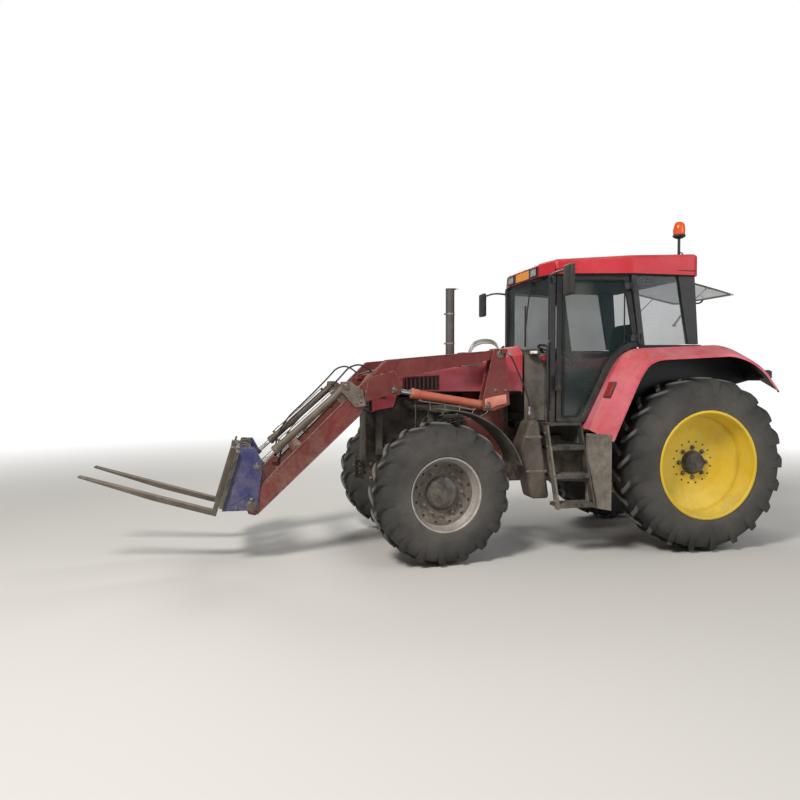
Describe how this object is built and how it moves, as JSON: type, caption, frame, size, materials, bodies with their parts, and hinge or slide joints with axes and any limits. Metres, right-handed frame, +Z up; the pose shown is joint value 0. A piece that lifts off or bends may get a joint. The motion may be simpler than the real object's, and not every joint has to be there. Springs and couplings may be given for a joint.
{
  "type": "farm tractor",
  "caption": "Farm tractor with a glazed cab and a front loader that carries pallet forks on a quick hitch.",
  "frame": {"origin": "on the ground, in the middle of the machine's length and width", "axes": "+X forwards along the machine, towards the fork tips, +Y to the driver's left, +Z up"},
  "size_m": [6.796, 2.47, 3.22],
  "materials": {
    "red_paint": "faded, dusty",
    "loader_paint": "dull, dusty",
    "orange_paint": "dull",
    "blue_paint": "scuffed",
    "yellow_paint": "dusty",
    "grey_paint": "silver, rusty",
    "black_paint": "scuffed",
    "casting": "grimy",
    "steel": "worn",
    "rod": "polished",
    "tyre": "dusty",
    "rubber": "dirty",
    "hose_rubber": "dusty",
    "plastic": "dusty",
    "tank": "grimy",
    "glass": "tinted",
    "lamp": "clear",
    "beacon": "translucent",
    "fabric": "worn"
  },
  "bodies": {
    "chassis": {"engine_block": "casting", "gearbox_housing": "casting", "rear_axle": "casting", "front_bolster": "casting", "front_axle_beam": "casting", "cab_floor": "black_paint", "cab_front_wall": "black_paint", "cab_rear_wall": "black_paint", "cab_pillars": "black_paint", "cab_roof": "red_paint", "windscreen": "glass", "side_windows": "glass", "rear_window": "glass", "driver_seat": "fabric", "steering_column": "plastic", "steering_wheel": "plastic", "rear_fenders": "red_paint", "fender_flaps": "rubber", "fuel_tanks": "tank", "cab_steps": "steel", "loader_masts": "loader_paint", "mirrors": "plastic", "roof_lamps": "lamp", "beacon": "beacon", "drawbar": "steel", "mast_hose": "hose_rubber"},
    "hood": {"hood_shell": "red_paint", "nose_grille": "plastic", "exhaust_stack": "steel"},
    "boom": {"boom_arms": "loader_paint", "boom_cross_tube": "loader_paint", "crowd_hoses": "hose_rubber"},
    "lift_cylinders": {"lift_barrels": "orange_paint"},
    "lift_pistons": {"lift_rods": "rod"},
    "crowd_cylinders": {"crowd_barrels": "steel"},
    "crowd_pistons": {"crowd_rods": "rod"},
    "carriage": {"quick_hitch": "blue_paint", "fork_frame": "black_paint", "fork_tines": "steel"},
    "steer_left": {"knuckle_left": "casting", "front_fender_left": "plastic"},
    "steer_right": {"knuckle_right": "casting", "front_fender_right": "plastic"},
    "front_wheel_left": {"front_tyre_left": "tyre", "front_rim_left": "grey_paint"},
    "front_wheel_right": {"front_tyre_right": "tyre", "front_rim_right": "grey_paint"},
    "rear_wheel_left": {"rear_tyre_left": "tyre", "rear_rim_left": "yellow_paint"},
    "rear_wheel_right": {"rear_tyre_right": "tyre", "rear_rim_right": "yellow_paint"},
    "door_left": {"door_frame_left": "black_paint", "door_glass_left": "glass"},
    "door_right": {"door_frame_right": "black_paint", "door_glass_right": "glass"},
    "hitch_links": {"lower_links": "steel"},
    "hitch_rods": {"lift_links": "steel"},
    "hitch_arms": {"rocker_arms": "casting"}
  },
  "joints": [
    {"name": "rear_wheel_left_spin", "type": "hinge", "parent": "chassis", "child": "rear_wheel_left", "pos_m": [-2.30498, 0.83, 0.84], "axis": [0, 1, 0], "continuous": true},
    {"name": "rear_wheel_right_spin", "type": "hinge", "parent": "chassis", "child": "rear_wheel_right", "pos_m": [-2.30498, -0.83, 0.84], "axis": [0, 1, 0], "continuous": true},
    {"name": "front_wheel_left_spin", "type": "hinge", "parent": "steer_left", "child": "front_wheel_left", "pos_m": [0.27974, 0.81413, 0.64], "axis": [-0.1132, 0.9936, 0], "continuous": true},
    {"name": "front_wheel_right_spin", "type": "hinge", "parent": "steer_right", "child": "front_wheel_right", "pos_m": [0.3103, -0.81413, 0.64], "axis": [-0.1132, 0.9936, 0], "continuous": true},
    {"name": "steering", "type": "hinge", "parent": "chassis", "child": "steer_left", "pos_m": [0.29502, 0.68, 0.64], "axis": [0, 0, 1], "range_deg": [-44.5, 31.5]},
    {"name": "steering_tie", "type": "hinge", "parent": "chassis", "child": "steer_right", "pos_m": [0.29502, -0.68, 0.64], "axis": [0, 0, 1], "range_deg": [-45, 32]},
    {"name": "boom_lift", "type": "hinge", "parent": "chassis", "child": "boom", "pos_m": [-0.37498, 0, 1.89], "axis": [0, -1, 0], "range_deg": [-7.5, 70]},
    {"name": "lift_barrel_swing", "type": "hinge", "parent": "chassis", "child": "lift_cylinders", "pos_m": [-0.25998, 0, 1.405], "axis": [0, -1, 0], "range_deg": [-6.5, 60.69]},
    {"name": "lift_rod_stroke", "type": "slide", "parent": "lift_cylinders", "child": "lift_pistons", "axis": [0.9865, 0, 0.1635], "range_m": [-0.0601, 0.5608]},
    {"name": "carriage_tilt", "type": "hinge", "parent": "boom", "child": "carriage", "pos_m": [1.93502, 0, 0.54], "axis": [0, 1, 0], "range_deg": [-15, 70]},
    {"name": "crowd_barrel_swing", "type": "hinge", "parent": "boom", "child": "crowd_cylinders", "pos_m": [1.08502, 0, 1.59], "axis": [0, 1, 0], "range_deg": [-5.71, 1.22]},
    {"name": "crowd_rod_stroke", "type": "slide", "parent": "crowd_cylinders", "child": "crowd_pistons", "axis": [0.7479, 0, -0.6638], "range_m": [-0.0748, 0.3489]},
    {"name": "hood_lift", "type": "hinge", "parent": "chassis", "child": "hood", "pos_m": [-0.71698, 0, 1.948], "axis": [0, -1, 0], "range_deg": [0, 40]},
    {"name": "door_left_swing", "type": "hinge", "parent": "chassis", "child": "door_left", "pos_m": [-1.69698, 0.816, 1.962], "axis": [0.1349, 0, 0.9909], "range_deg": [0, 80]},
    {"name": "door_right_swing", "type": "hinge", "parent": "chassis", "child": "door_right", "pos_m": [-1.69698, -0.816, 1.962], "axis": [-0.1349, 0, -0.9909], "range_deg": [0, 80]},
    {"name": "hitch_lift", "type": "hinge", "parent": "chassis", "child": "hitch_links", "pos_m": [-2.42498, 0, 0.6], "axis": [0, 1, 0], "range_deg": [-20, 25]},
    {"name": "hitch_rod_swing", "type": "hinge", "parent": "hitch_links", "child": "hitch_rods", "pos_m": [-2.77498, 0, 0.6], "axis": [0, 1, 0], "range_deg": [-25.5, 20.4]},
    {"name": "hitch_arm_swing", "type": "hinge", "parent": "chassis", "child": "hitch_arms", "pos_m": [-2.47498, 0, 1.15], "axis": [0, 1, 0], "range_deg": [-23.8, 29.75]}
  ],
  "couplings": [
    {"joint": "steering_tie", "follows": "steering", "ratio": 1},
    {"joint": "lift_barrel_swing", "follows": "boom_lift", "ratio": 0.85},
    {"joint": "lift_rod_stroke", "follows": "boom_lift", "m_per_rad": 0.45},
    {"joint": "crowd_barrel_swing", "follows": "carriage_tilt", "ratio": -0.08},
    {"joint": "crowd_rod_stroke", "follows": "carriage_tilt", "m_per_rad": 0.28},
    {"joint": "hitch_rod_swing", "follows": "hitch_lift", "ratio": -1},
    {"joint": "hitch_arm_swing", "follows": "hitch_lift", "ratio": 1.1667}
  ]
}
